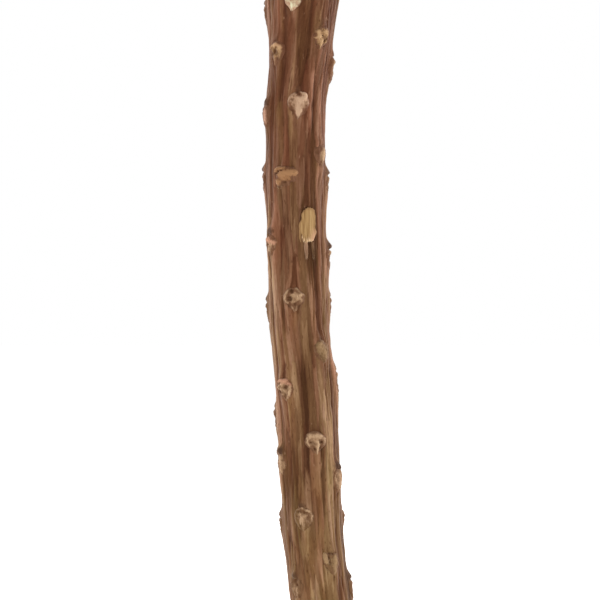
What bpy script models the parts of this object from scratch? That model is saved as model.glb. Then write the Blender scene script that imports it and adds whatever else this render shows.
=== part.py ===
# A bare length of dried banksia stem, its leaves pulled off, cut square at the foot and aslant at the top.
#
# It is built the way it grew: a pith in the middle, a ring of wood round it, bark round the wood, and,
# set in pockets of the bark, the corky bases of the leaves, which climb the stem on a golden-angle spiral.
# One leaf took a piece of bark with it and left a bare patch with two loose bark strips under it.
#
# Units are metres. +Z runs up the stem, -Y is its front and +X is on the right as seen from the front.
# The origin is the middle of the cut foot. Turns are in degrees round the stem, from the front to the right.

import math

import bmesh
import bpy
from mathutils import Vector

MM = 0.001

# The stem: height, offset to the right, offset to the back and radius of the bark at each station, in mm
STEM_STATIONS = (
    (0, 0.0, 0.0, 5.0),
    (22, -2.7, 0.5, 4.95),
    (46, -4.0, 0.9, 4.9),
    (60, -5.3, 1.0, 4.85),
    (94, -5.9, 0.6, 4.9),
    (105, -5.1, 0.4, 5.2),
    (114, -4.6, 0.2, 6.1),
    (126, -4.0, 0.0, 6.1),
)
STEM_LENGTH = STEM_STATIONS[-1][0] * MM
TOP_CUT_SLOPE = math.tan(math.radians(20))
TOP_CUT_FALLS_TOWARDS = 35  # the turn at which the slanting top cut is lowest
TOP_CUT_ZONE = 14 * MM  # the rings tilt gradually to the cut over this length

# The layers, from the middle out
PITH_RADIUS = 1.1 * MM
BARK_THICKNESS = 1.15 * MM
LAYER_GAP = 0.15 * MM
STEM_SIDES = 24
PITH_SIDES = 10
STEM_RINGS = 22
MERGE_DISTANCE = 0.001 * MM

# The leaf bases
LEAF_COUNT = 47
FIRST_LEAF_HEIGHT = 3.4 * MM
FIRST_LEAF_TURN = -85.0
LEAF_PITCH = 2.567 * MM
GOLDEN_ANGLE = 137.5
LEAF_WIDTH = 3.3 * MM
LEAF_HEIGHT = 4.4 * MM
LEAF_PROUD = 0.85 * MM
LEAF_SUNK = 0.5 * MM
POCKET_GAP = 0.12 * MM
TAIL_SHARE = 0.58  # how much of a leaf base's height hangs below its middle
TAIL_NARROWING = 0.4
LEAN = 0.3  # how much further a leaf base stands out at its upper edge than at its middle

# Leaves that grew off the even spiral: leaf number: (mm higher, degrees further to the right)
LEAF_DRIFT = {
    5: (1.3, 14),
    6: (-0.8, 8),
    8: (-1.7, -4),
    9: (1.5, 1),
    11: (-2.1, 3),
    13: (-0.8, -5),
    14: (-0.8, 6),
    16: (-2.3, 0),
    17: (-1.1, 26),
    18: (2.5, -5),
    19: (-1.2, -2),
    21: (0.0, -4),
    22: (4.0, -17),
    23: (2.3, -25),
    24: (0.8, -1),
    26: (2.5, 12),
    27: (2.3, 3),
    29: (0.6, -2),
    30: (5.1, 12),
    31: (2.0, -12),
    32: (0.7, 7),
    34: (-1.0, -3),
    35: (3.2, 9),
    37: (-0.3, 0),
    39: (0.7, 0),
    40: (0.7, 3),
    42: (-2.1, 0),
    43: (-0.5, -9),
    45: (-3.8, 0),
}

# Leaf bases of another size: leaf number: (width, height, proud) in mm
LEAF_SIZES = {
    11: (3.7, 4.6, 0.8),
    16: (3.9, 4.2, 0.9),
    18: (3.2, 5.0, 0.75),
    19: (4.0, 4.2, 0.9),
    24: (3.9, 4.4, 0.9),
    29: (3.3, 5.7, 0.5),
    32: (4.4, 3.6, 1.0),
    37: (4.0, 5.2, 0.95),
    39: (3.2, 5.2, 1.0),
}

# The loose bark strips under the bare patch
PATCH_LEAF = 29
STRIP_LENGTH = 2.6 * MM
STRIP_THICKNESS = 0.25 * MM
STRIP_LIFT = 0.45 * MM
STRIP_NARROWING = 0.5
STRIP_STEPS = 4
STRIPS = {"peeled_strip_left": (-5.0, 0.9), "peeled_strip_right": (9.0, 0.6)}  # degrees off, mm wide

# Colours: red, green, blue and roughness, in linear light
FINISHES = {
    "bark": (0.17, 0.075, 0.038, 0.8),
    "wood": (0.52, 0.36, 0.19, 0.7),
    "pith": (0.30, 0.17, 0.08, 0.9),
    "scar_cork": (0.42, 0.25, 0.13, 0.85),
    "torn_bark": (0.36, 0.20, 0.10, 0.85),
}


def clear_scene():
    for obj in list(bpy.data.objects):
        bpy.data.objects.remove(obj)


def make_material(name):
    red, green, blue, roughness = FINISHES[name]
    material = bpy.data.materials.new(name)
    material.use_nodes = True
    shader = material.node_tree.nodes["Principled BSDF"]
    shader.inputs["Base Color"].default_value = (red, green, blue, 1)
    shader.inputs["Roughness"].default_value = roughness
    shader.inputs["Metallic"].default_value = 0
    return material


def add_object(name, bm, material, parent=None):
    """Turns the bmesh into a named object, shaded smooth but for its sharp edges."""
    mesh = bpy.data.meshes.new(name)
    bm.to_mesh(mesh)
    bm.free()
    mesh.shade_smooth()
    mesh.set_sharp_from_angle(angle=math.radians(40))
    if material:
        mesh.materials.append(material)
    obj = bpy.data.objects.new(name, mesh)
    bpy.context.scene.collection.objects.link(obj)
    obj.parent = parent
    return obj


def stem_at(height):
    """The stem's middle and its bark radius at a height, on a smooth curve through the stations."""
    stations = [tuple(value * MM for value in station) for station in STEM_STATIONS]
    last = len(stations) - 1
    index = 0
    while index < last - 1 and height > stations[index + 1][0]:
        index += 1
    low, high = stations[index], stations[index + 1]
    span = high[0] - low[0]
    share = (height - low[0]) / span
    before, after = stations[max(index - 1, 0)], stations[min(index + 2, last)]
    values = []
    for column in (1, 2, 3):
        slope_low = (high[column] - before[column]) / (high[0] - before[0])
        slope_high = (after[column] - low[column]) / (after[0] - low[0])
        values.append(
            (2 * share**3 - 3 * share**2 + 1) * low[column]
            + (share**3 - 2 * share**2 + share) * span * slope_low
            + (3 * share**2 - 2 * share**3) * high[column]
            + (share**3 - share**2) * span * slope_high
        )
    return Vector((values[0], values[1], height)), values[2]


def facing(turn):
    """The level direction that points out of the stem at a turn, in degrees."""
    angle = math.radians(turn)
    return Vector((math.sin(angle), -math.cos(angle), 0))


def on_bark(height, turn, out=0.0):
    """A point on the smooth bark, or out from it."""
    middle, radius = stem_at(height)
    return middle + facing(turn) * (radius + out)


def tilt_to_cut(point, height):
    """Lowers or lifts a point near the top so that the last ring lies in the slanting cut."""
    share = max(0.0, (height - (STEM_LENGTH - TOP_CUT_ZONE)) / TOP_CUT_ZONE)
    middle, _ = stem_at(STEM_LENGTH)
    fall = (point - middle).dot(facing(TOP_CUT_FALLS_TOWARDS)) * TOP_CUT_SLOPE
    return point - Vector((0, 0, fall * share))


def climb():
    """The heights of the stem's rings, from the foot up."""
    return [STEM_LENGTH * step / STEM_RINGS for step in range(STEM_RINGS + 1)]


def grow_wall(bm, path, sides):
    """One round wall along the stem, by extruding a ring of edges from stop to stop.

    The path's stops are heights with a function that gives the wall's radius from the bark's radius there.
    Returns the edges of the first and the last ring.
    """
    ring = bmesh.ops.create_circle(bm, segments=sides, radius=1)["verts"]
    first_edges = edges = list(bm.edges)
    last_middle = Vector((0, 0, 0))
    for stop, (height, radius_of) in enumerate(path):
        if stop:
            grown = bmesh.ops.extrude_edge_only(bm, edges=edges)["geom"]
            ring = [item for item in grown if isinstance(item, bmesh.types.BMVert)]
            edges = [item for item in grown if isinstance(item, bmesh.types.BMEdge)]
        middle, bark_radius = stem_at(height)
        for vert in ring:
            side = vert.co - last_middle
            side.z = 0
            vert.co = tilt_to_cut(middle + side.normalized() * radius_of(bark_radius), height)
        last_middle = middle
    return first_edges, edges


def make_rod(name, radius_of, sides, material, parent):
    """A solid rod that follows the stem, with both ends cut flat."""
    bm = bmesh.new()
    foot, top = grow_wall(bm, [(height, radius_of) for height in climb()], sides)
    bmesh.ops.contextual_create(bm, geom=foot)
    bmesh.ops.contextual_create(bm, geom=top)
    bmesh.ops.recalc_face_normals(bm, faces=bm.faces)
    return add_object(name, bm, material, parent)


def make_sleeve(name, outer_of, inner_of, material, parent):
    """A hollow layer that follows the stem: up its outside, down its inside and back to where it began."""
    up_outside = [(height, outer_of) for height in climb()]
    down_inside = [(height, inner_of) for height in reversed(climb())]
    bm = bmesh.new()
    grow_wall(bm, up_outside + down_inside + up_outside[:1], STEM_SIDES)
    bmesh.ops.remove_doubles(bm, verts=bm.verts, dist=MERGE_DISTANCE)
    bmesh.ops.recalc_face_normals(bm, faces=bm.faces)
    return add_object(name, bm, material, parent)


def leaf_place(number):
    """Height and turn of a leaf base. Leaf 1 is the lowest."""
    step = number - 1
    higher, turned = LEAF_DRIFT.get(number, (0, 0))
    height = FIRST_LEAF_HEIGHT + LEAF_PITCH * step + higher * MM
    return height, FIRST_LEAF_TURN - GOLDEN_ANGLE * step + turned


def add_leaf_shape(bm, number, grown_by):
    """Adds one leaf base to the bmesh: a round cushion with a tail that runs down the stem, wrapped on the bark."""
    width, tall, proud = (
        [value * MM for value in LEAF_SIZES[number]]
        if number in LEAF_SIZES
        else (LEAF_WIDTH, LEAF_HEIGHT, LEAF_PROUD)
    )
    height, turn = leaf_place(number)
    _, radius = stem_at(height)
    for vert in bmesh.ops.create_icosphere(bm, subdivisions=2, radius=1)["verts"]:
        across, up, out = vert.co.x, vert.co.y, vert.co.z
        reach = tall * (1 - TAIL_SHARE if up > 0 else TAIL_SHARE)
        rise = up * (reach + grown_by)
        across *= (width / 2 + grown_by) * (1 - TAIL_NARROWING * max(0.0, -up))
        if out > 0:
            out *= (proud + grown_by) * (1 + LEAN * up)
        else:
            out *= LEAF_SUNK + grown_by
        vert.co = on_bark(height + rise, turn + math.degrees(across / radius), out)


def make_leaf_base(number, material, parent):
    bm = bmesh.new()
    add_leaf_shape(bm, number, 0.0)
    return add_object(f"leaf_base_{number:02d}", bm, material, parent)


def cut_leaf_pockets(bark, parent):
    """Sinks a pocket into the bark for every leaf base, with one cutter that holds all the pocket shapes."""
    bm = bmesh.new()
    for number in range(1, LEAF_COUNT + 1):
        add_leaf_shape(bm, number, POCKET_GAP)
    cutter = add_object("leaf_pocket_cutter", bm, None, parent)
    cutter.hide_render = True
    cutter.display_type = "WIRE"
    pockets = bark.modifiers.new("leaf_pockets", "BOOLEAN")
    pockets.operation = "DIFFERENCE"
    pockets.solver = "EXACT"
    pockets.object = cutter


def make_strip(name, turn_off, width, material, parent):
    """A loose bark strip that hangs from the bare patch's lower edge, its tip curling off the stem."""
    height, turn = leaf_place(PATCH_LEAF)
    patch_height = LEAF_SIZES[PATCH_LEAF][1] * MM
    upper_end = height - patch_height * TAIL_SHARE - 2 * POCKET_GAP
    _, radius = stem_at(height)
    bm = bmesh.new()
    bmesh.ops.create_cube(bm, size=1)
    lengthwise = [edge for edge in bm.edges if abs(edge.verts[0].co.z - edge.verts[1].co.z) > 0.5]
    bmesh.ops.subdivide_edges(bm, edges=lengthwise, cuts=STRIP_STEPS - 1, use_grid_fill=True)
    for vert in bm.verts:
        down = 0.5 - vert.co.z
        across = vert.co.x * width * (1 - STRIP_NARROWING * down)
        lift = POCKET_GAP + STRIP_LIFT * down**2 + STRIP_THICKNESS * (0.5 - vert.co.y)
        strip_turn = turn + turn_off + math.degrees(across / radius)
        vert.co = on_bark(upper_end - STRIP_LENGTH * down, strip_turn, lift)
    return add_object(name, bm, material, parent)


def main():
    clear_scene()
    materials = {name: make_material(name) for name in FINISHES}
    stem = bpy.data.objects.new("stem", None)
    bpy.context.scene.collection.objects.link(stem)

    wood_inside = PITH_RADIUS + LAYER_GAP
    make_rod("pith", lambda radius: PITH_RADIUS, PITH_SIDES, materials["pith"], stem)
    make_sleeve(
        "wood",
        lambda radius: radius - BARK_THICKNESS - LAYER_GAP,
        lambda radius: wood_inside,
        materials["wood"],
        stem,
    )
    bark = make_sleeve(
        "bark",
        lambda radius: radius,
        lambda radius: radius - BARK_THICKNESS,
        materials["bark"],
        stem,
    )
    cut_leaf_pockets(bark, stem)
    for number in range(1, LEAF_COUNT + 1):
        make_leaf_base(number, materials["scar_cork"], stem)
    for name, (turn_off, width) in STRIPS.items():
        make_strip(name, turn_off, width * MM, materials["torn_bark"], stem)


main()
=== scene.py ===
import math
import random

import bmesh
import bpy
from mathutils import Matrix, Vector, noise


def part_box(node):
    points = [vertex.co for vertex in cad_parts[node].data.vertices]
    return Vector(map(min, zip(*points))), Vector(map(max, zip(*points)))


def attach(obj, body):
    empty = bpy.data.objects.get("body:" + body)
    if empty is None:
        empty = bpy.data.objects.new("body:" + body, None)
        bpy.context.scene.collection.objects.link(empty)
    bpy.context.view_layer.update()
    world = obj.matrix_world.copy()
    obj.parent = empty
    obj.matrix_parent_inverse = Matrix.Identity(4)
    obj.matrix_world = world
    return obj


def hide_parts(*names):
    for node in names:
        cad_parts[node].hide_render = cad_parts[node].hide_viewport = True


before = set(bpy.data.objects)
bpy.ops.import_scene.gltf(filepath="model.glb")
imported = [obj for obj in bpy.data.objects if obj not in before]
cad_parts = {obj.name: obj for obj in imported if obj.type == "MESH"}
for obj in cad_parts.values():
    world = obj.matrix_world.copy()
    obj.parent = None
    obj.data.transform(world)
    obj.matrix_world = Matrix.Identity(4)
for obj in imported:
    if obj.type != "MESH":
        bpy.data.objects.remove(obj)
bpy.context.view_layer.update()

mm = 0.001
noise.seed_set(3)  # without it noise_vector differs from run to run


# Helpers

def smooth(low, high, value):  # an S curve from 0 at low to 1 at high
    share = min(1.0, max(0.0, (value - low) / (high - low)))
    return share * share * (3 - 2 * share)


def hump(distance, width):  # a bell curve, 1 in the middle
    return math.exp(-((distance / width) ** 2))


def blendTo(first, second, share):
    return first + (second - first) * share


def wrapTurn(turn):  # a turn in degrees, brought to between -180 and 180
    return (turn + 180) % 360 - 180


# The stem's own line, read from the frame: where its middle is and how thick it is at each height

stem = {
    "length": 126 * mm,
    "rings": 22,
    "barkOverWood": 1.3 * mm,  # the bark's thickness and the gap under it
    "cutSlope": math.tan(math.radians(20)),
    "cutFallsTowards": 35,
    "cutZone": 14 * mm,
    "patternRadius": 5 * mm,
}


def nodePoints(node):
    return [vert.co.copy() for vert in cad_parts[node].data.vertices]


def readStemLine():
    step = stem["length"] / stem["rings"]
    pithPoints, woodPoints = nodePoints("pith"), nodePoints("wood")
    line = []
    for ring in range(stem["rings"] + 1):
        near = {tuple(round(value, 6) for value in point) for point in pithPoints
                if abs(point.z - ring * step) < step / 2}
        middle = sum((Vector(point) for point in near), Vector()) / len(near)
        radius = max((point - middle).to_2d().length for point in woodPoints
                     if abs(point.z - ring * step) < step / 2)
        line.append((middle.x, middle.y, radius + stem["barkOverWood"]))
    return line


stemLine = readStemLine()
stemCache = {}


def stemAt(height):  # the middle and the bark's radius, on a smooth curve through the rings
    key = round(height, 6)
    if key not in stemCache:
        last = stem["rings"]
        place = min(max(height / stem["length"], 0), 1) * last
        index = min(int(place), last - 1)
        share = place - index
        four = [stemLine[min(max(index + shift, 0), last)] for shift in (-1, 0, 1, 2)]
        x, y, radius = (
            0.5 * (2 * b + (c - a) * share + (2 * a - 5 * b + 4 * c - d) * share ** 2
                   + (3 * b - a - 3 * c + d) * share ** 3)
            for a, b, c, d in zip(*four))
        stemCache[key] = (Vector((x, y, height)), radius)
    return stemCache[key]


def facing(turn):  # the way out from the stem at a turn: 0 is the front, 90 the right side
    angle = math.radians(turn)
    return Vector((math.sin(angle), -math.cos(angle), 0))


def turnOf(x, y):
    return math.degrees(math.atan2(x, -y))


def roundBark(turn, middleTurn, radius):  # how far round the bark one turn is from another
    return math.radians(wrapTurn(turn - middleTurn)) * radius


def cutShift(height, turn, radius):  # how far the slanting top cut lowers a point
    share = max(0.0, (height - stem["length"] + stem["cutZone"]) / stem["cutZone"])
    lean = math.cos(math.radians(turn - stem["cutFallsTowards"]))
    return radius * lean * stem["cutSlope"] * share


def onStem(height, turn, out):  # a point on the smooth bark, or out from it
    middle, radius = stemAt(height)
    return middle + facing(turn) * (radius + out)


def straight(height, turn, radius=stem["patternRadius"]):  # a point on an unbent stem, for patterns
    return facing(turn) * radius + Vector((0, 0, height))


def put(vert, place, height, turn, out):  # a vertex set on the stem, and its place in the patterns
    vert.co = onStem(height, turn, out)
    vert[place] = straight(height, turn)


def drawnOut(point, width, length, seed):  # the place in a pattern whose features are that wide and long
    return Vector((point.x / width, point.y / width, point.z / length + seed * 7.7))


# The leaf bases, read from the frame

leafTailShare = 0.58  # how much of a leaf base lies below its middle


def readLeaf(node):  # the height and turn of its middle, its width and length, and how far it stands out
    points = nodePoints(node)
    lowest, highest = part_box(node)
    tall = highest.z - lowest.z
    height = lowest.z + leafTailShare * tall
    middle, _ = stemAt(height)
    side = sum(points, Vector()) / len(points) - middle
    turn = turnOf(side.x, side.y)
    width, proud = 0, 0
    for point in points:
        middle, radius = stemAt(point.z)
        side = point - middle
        across = roundBark(turnOf(side.x, side.y), turn, radius)
        width = max(width, 2 * abs(across))
        proud = max(proud, side.to_2d().length - radius)
    return {"node": node, "height": height, "turn": turn, "width": width, "tall": tall, "proud": proud}


leaves = {int(name[-2:]): readLeaf(name)
          for name in sorted(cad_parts) if name.startswith("leaf_base")}
print("stem line and", len(leaves), "leaf bases read")


def nearLeaves(height, reach):
    return [(number, leaf) for number, leaf in leaves.items() if abs(leaf["height"] - height) < reach]


# Shader maths: a Signal wraps a socket, and maths on Signals adds Math nodes

class Signal:
    def __init__(self, paint, socket):
        self.paint = paint
        self.socket = socket

    def maths(self, operation, first, second):
        return self.paint.node("ShaderNodeMath", {"operation": operation}, {0: first, 1: second})

    def __add__(self, other):
        return self.maths("ADD", self, other)

    def __sub__(self, other):
        return self.maths("SUBTRACT", self, other)

    def __mul__(self, other):
        return self.maths("MULTIPLY", self, other)

    def __rsub__(self, other):
        return self.maths("SUBTRACT", other, self)

    __radd__ = __add__
    __rmul__ = __mul__

    def clamp(self):
        return self.paint.node("ShaderNodeClamp", {}, {0: self})

    def between(self, low, high):  # 0 below low, 1 above high
        return self.paint.node("ShaderNodeMapRange", {"interpolation_type": "SMOOTHSTEP"},
                               {"Value": self, "From Min": low, "From Max": high})


class Paint:  # a material, with what its nodes are made from
    def __init__(self, name, roughness, specular, sheen=0.0):
        self.material = bpy.data.materials.new(name)
        self.material.use_nodes = True
        self.tree = self.material.node_tree
        self.shader = self.tree.nodes["Principled BSDF"]
        self.set({"Roughness": roughness, "Specular IOR Level": specular, "Sheen Weight": sheen,
                  "Sheen Roughness": 0.4, "Sheen Tint": (1, 0.76, 0.62, 1)})

    def set(self, values):  # what is the same all over the surface
        for name, value in values.items():
            self.shader.inputs[name].default_value = value

    def plug(self, socket, value):
        if isinstance(value, Signal):
            self.tree.links.new(value.socket, socket)
        else:
            socket.default_value = value

    def node(self, kind, settings=None, inputs=None, output=0):
        made = self.tree.nodes.new(kind)
        for name, value in (settings or {}).items():
            if name == "stops":
                setStops(made.color_ramp, value)
            else:
                setattr(made, name, value)
        for name, value in (inputs or {}).items():
            self.plug(made.inputs[name], value)
        return Signal(self, made.outputs[output])

    def attribute(self, name, output="Fac"):
        return self.node("ShaderNodeAttribute", {"attribute_name": name}, output=output)

    def noise(self, vector, scale=1.0, detail=3.0, rough=0.5):
        return self.node("ShaderNodeTexNoise", {}, {
            "Vector": vector, "Scale": scale, "Detail": detail, "Roughness": rough})

    def streaks(self, across, along, where=(0, 0, 0), detail=3.0, rough=0.5):  # features to the metre
        place = self.node("ShaderNodeMapping", {}, {
            "Vector": self.attribute("straight", "Vector"), "Location": where,
            "Scale": (across, across, along)})
        return self.noise(place, 1.0, detail, rough)

    def ramp(self, factor, stops):
        return self.node("ShaderNodeValToRGB", {"stops": stops}, {0: factor})

    def mix(self, share, first, second, blend="MIX"):
        return self.node("ShaderNodeMix", {"data_type": "RGBA", "blend_type": blend},
                         {0: share, 6: first, 7: second}, output=2)

    def tint(self, share, color, by):
        return self.mix(share, color, (*by, 1), "MULTIPLY")

    def bump(self, height, strength, distance):
        return self.node("ShaderNodeBump", {}, {
            "Height": height, "Strength": strength, "Distance": distance})

    def finish(self, color, normal, roughness=None):
        for name, value in (("Base Color", color), ("Normal", normal), ("Roughness", roughness)):
            if value is not None:
                self.plug(self.shader.inputs[name], value)
        return self.material


def setStops(ramp, stops):
    while len(ramp.elements) < len(stops):
        ramp.elements.new(0.5)
    for element, (position, color) in zip(ramp.elements, stops):
        element.position = position
        element.color = color


def srgb(red, green, blue):  # a screen colour, 0 to 255, as linear light
    def linear(value):
        value /= 255
        return value / 12.92 if value <= 0.04045 else ((value + 0.055) / 1.055) ** 2.4
    return (linear(red), linear(green), linear(blue), 1)


# Pieces

def addObject(name, data):
    made = bpy.data.objects.new(name, data)
    bpy.context.scene.collection.objects.link(made)
    return made


def addPiece(name, bm, material, replaced=()):
    mesh = bpy.data.meshes.new(name)
    bm.to_mesh(mesh)
    bm.free()
    mesh.shade_smooth()
    mesh.materials.append(material)
    piece = addObject(name, mesh)
    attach(piece, "root")
    if replaced:
        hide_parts(*replaced)


def layers(bm, *names):  # float layers for patterns, and the unbent place of each point
    found = [bm.verts.layers.float.new(name) for name in names]
    return [bm.verts.layers.float_vector.new("straight")] + found


# Bark

bark = {
    "around": 240,
    "rows": 362,
    "rimRows": 5,
    "innerRows": 8,
    "thickness": 1.15 * mm,
    # flat scales of bark, then fibres along it: width, length, relief, share of the tone, seed
    "scales": [(1.4 * mm, 20 * mm, 0.11 * mm, 0.4, 5.6), (0.75 * mm, 8 * mm, 0.06 * mm, 0.34, 9.4)],
    "fibres": [(1.1 * mm, 26 * mm, 0.08 * mm, 0.24, 6.3), (0.4 * mm, 9 * mm, 0.02 * mm, 0.06, 5.2)],
    "scaleFray": 0.22,
    "fibreEdge": 0.1,
    "parting": 0.3,  # how strongly fibres part round a leaf base, and how far from it
    "partingReach": 12 * mm,
    "partingFade": (4 * mm, 6 * mm),
    # furrows, the gaps in them and the broad swells: width, length, seed
    "furrows": (0.85 * mm, 12 * mm, 1.7),
    "furrowGaps": (1.6 * mm, 7 * mm, 4.4),
    "furrowDepth": 0.15 * mm,
    "swells": (2.8 * mm, 26 * mm, 8.8),
    "swell": 0.15 * mm,
    # round a leaf base: the swelling, the bud over it, the ridge under it and the pocket it sits in
    "leafReach": (5 * mm, 11 * mm),
    "cushion": 0.45 * mm,
    "cushionShares": (0.6, 0.55, 0.8),  # of the leaf base: its half width, and its length up and down
    "crook": 0.64 * mm,
    "crookShares": (0.32, 0.42, 0.21),  # its half width, how high it sits and its half length
    "tail": 0.1 * mm,
    "tailShare": 0.28,
    "pocket": 0.5 * mm,
}


def flowTurn(height, turn):  # the turn of the fibre that passes here: fibres part round each leaf base
    _, radius = stemAt(height)
    shift = 0
    near, far = bark["partingFade"]
    for _, leaf in nearLeaves(height, bark["partingReach"]):
        across = roundBark(turn, leaf["turn"], radius)
        if abs(across) > far:
            continue
        wide = 0.24 * leaf["width"]
        long = 0.6 * leaf["tall"]
        rise = height - leaf["height"] + 0.3 * mm
        spread = (across / wide) ** 2 + (rise / long) ** 2
        shift += bark["parting"] * across / max(spread, 1.0) * (1 - smooth(near, far, abs(across)))
    return turn - math.degrees(shift / radius)


def grain(point, width, length, seed):  # noise drawn out along the stem
    return noise.noise(drawnOut(point, width, length, seed))


def scaleOf(point, width, length, seed):  # the flat scale here: its level, its hue, how near its edge is
    spot = drawnOut(point, width, length, seed)
    spot += bark["scaleFray"] * noise.noise_vector(spot * 2.3)
    distances, centres = noise.voronoi(spot)
    level, hue = noise.cell(centres[0] * 31), noise.cell(centres[0] * 47)
    return 0.5 + 0.5 * level, hue, distances[1] - distances[0]


def leafMarks(height, turn):  # how the leaf bases swell, sink, shade and split the bark at a point
    out, shade, bare, slit = 0, 0, 0, 0
    _, radius = stemAt(height)
    acrossReach, upReach = bark["leafReach"]
    cushionWide, cushionUp, cushionDown = bark["cushionShares"]
    crookWide, crookRise, crookTall = bark["crookShares"]
    for number, leaf in nearLeaves(height, upReach):
        across = roundBark(turn, leaf["turn"], radius)
        if abs(across) > acrossReach:
            continue
        rise = height - leaf["height"]
        width, tall = leaf["width"], leaf["tall"]
        torn = number == tornPatch["leaf"]
        reach = cushionUp * tall if rise > 0 else cushionDown * tall
        slim = 1 - 0.3 * smooth(0, 2 * tall, -rise)
        cushion = hump(across, cushionWide * width * slim) * hump(rise, reach)
        ragged = noise.noise(Vector((across / mm, rise / mm, number * 2.3)))
        crook = looks[number]["bud"] * hump(across + 0.4 * mm * ragged, crookWide * width)
        crook *= hump(rise - crookRise * tall, crookTall * tall)
        tail = hump(across, bark["tailShare"] * width) * smooth(0, 0.5 * tall, -rise)
        tail *= 1 - smooth(0.7 * tall, 2 * tall, -rise)
        inside = (across / (0.5 * width)) ** 2 + (rise / (0.5 * tall)) ** 2
        if torn:
            crook = 0
            tail = 0
            cushion *= tornPatch["cushion"]
            splinter = noise.noise(Vector((across / (0.25 * mm), rise / (1.1 * mm), 3)))
            inside += 0.45 * splinter - 0.3
            # the split between the strips is sunk and given painted shade
            slit = hump(across + 0.1 * mm, tornPatch["slit"])
            slit *= smooth(0.45 * tall, 0.55 * tall, -rise) * (1 - smooth(0.9 * tall, 1.05 * tall, -rise))
        sunk = 1 - smooth(0.3, 0.7, inside)
        out += bark["cushion"] * cushion + bark["crook"] * crook * (1 + 0.35 * ragged)
        out += bark["tail"] * tail - bark["pocket"] * sunk * (tornPatch["pocket"] if torn else 1)
        out -= bark["furrowDepth"] * slit
        shade = max(shade, smooth(0.22, 0.62, crook + 0.5 * ragged * crook))
        bare = max(bare, tail * (0.3 + 0.5 * ragged) + 0.2 * cushion)
    return out, shade, bare, slit


def barkForm(height, turn):  # how far out the bark stands, its tone, furrows and the split (which get painted shade), the painted shade over the crooks, paler tails and hue
    point = straight(height, flowTurn(height, turn))
    out = 0
    tone = 0
    hues = []
    for width, length, relief, share, seed in bark["scales"]:
        level, hue, edge = scaleOf(point, width, length, seed)
        gap = 1 - smooth(0.02, 0.2, edge)
        curled = level * hump(edge - 0.3, 0.13)  # a high scale's edge curls up and wears paler
        out += relief * (level - 0.5 - 0.5 * gap + 0.5 * curled)
        tone += share * (level - 0.15 * gap + 0.4 * curled)
        hues.append(hue)
    for width, length, relief, share, seed in bark["fibres"]:
        level = smooth(-bark["fibreEdge"], bark["fibreEdge"], grain(point, width, length, seed))
        out += relief * (level - 0.5)
        tone += share * level
    line = abs(grain(point, *bark["furrows"]))
    opened = smooth(0.0, 0.35, grain(point, *bark["furrowGaps"]))
    # how deep a furrow's groove is, and how much painted shade it gets
    furrow = (1 - smooth(0.03, 0.13, line)) * opened
    swell = grain(point, *bark["swells"])
    out += bark["swell"] * swell - bark["furrowDepth"] * furrow
    tone += 0.35 * swell
    marks, shade, bare, slit = leafMarks(height, turn)
    return out + marks, tone, max(furrow, slit), shade, bare, hues[0] * 0.6 + hues[1] * 0.4


# A sleeve's path runs from inside the foot, round the outside and back. Each point has a height, a share
# of the way out, and a kind: 0 is the outside, 1 a cut end, 2 the inside.
def sleevePath(rows, rim, innerRows):
    length = stem["length"]
    path = [(0, step / rim, 1) for step in range(rim)]
    path += [(length * step / rows, 1, 0) for step in range(rows + 1)]
    path += [(length, 1 - step / rim, 1) for step in range(1, rim + 1)]
    path += [(length * (1 - step / innerRows), 0, 2) for step in range(1, innerRows)]
    return path


def rollSleeve(around, path, names, formOf):  # a flat grid rolled up round the stem, its edges joined
    bm = bmesh.new()
    place, *marks = layers(bm, *names)
    bmesh.ops.create_grid(bm, x_segments=around, y_segments=len(path), size=1)
    for vert in bm.verts:
        turn = (vert.co.x + 1) * 180
        height, shareOut, kind = path[round((vert.co.y + 1) / 2 * len(path)) % len(path)]
        middle, radius = stemAt(height)
        distance, values, vert[place] = formOf(height, turn, radius, shareOut, kind)
        for mark, value in zip(marks, values):
            vert[mark] = value
        dent = values[-1] * mm if kind == 1 else 0  # the last mark says how deep a cut end is sunk, in mm
        spot = middle + facing(turn) * distance
        spot.z += (dent if height < stem["length"] / 2 else -dent) - cutShift(height, turn, distance)
        vert.co = spot
    bmesh.ops.remove_doubles(bm, verts=bm.verts, dist=0.001 * mm)
    bmesh.ops.recalc_face_normals(bm, faces=bm.faces)
    return bm


def barkSleeve(height, turn, radius, shareOut, kind):
    fibreHeight = height - cutShift(height, turn, radius)
    out, tone, furrow, shade, bare, hue = barkForm(fibreHeight, turn) if kind < 2 else [0] * 6
    if kind == 1:
        out *= shareOut ** 2
    distance = radius + out - bark["thickness"] * (1 - shareOut)
    dent = 0.05 * (1 + noise.noise(Vector((turn * 0.35, shareOut * 2, 0)))) * math.sin(shareOut * math.pi)
    place = straight(height, flowTurn(fibreHeight, turn), stem["patternRadius"] * distance / radius)
    return distance, (tone, furrow, shade, bare, hue, 1 if kind else 0, dent), place


def makeBark():
    path = sleevePath(bark["rows"], bark["rimRows"], bark["innerRows"])
    names = ("tone", "furrow", "shade", "bare", "hue", "cut", "dent")
    bm = rollSleeve(bark["around"], path, names, barkSleeve)
    addPiece("bark", bm, barkPaint(), ["bark"])


barkStops = [
    (0.0, srgb(60, 34, 20)), (0.25, srgb(80, 50, 33)), (0.5, srgb(98, 67, 47)),
    (0.75, srgb(118, 85, 64)), (1.0, srgb(144, 111, 89))]


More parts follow.
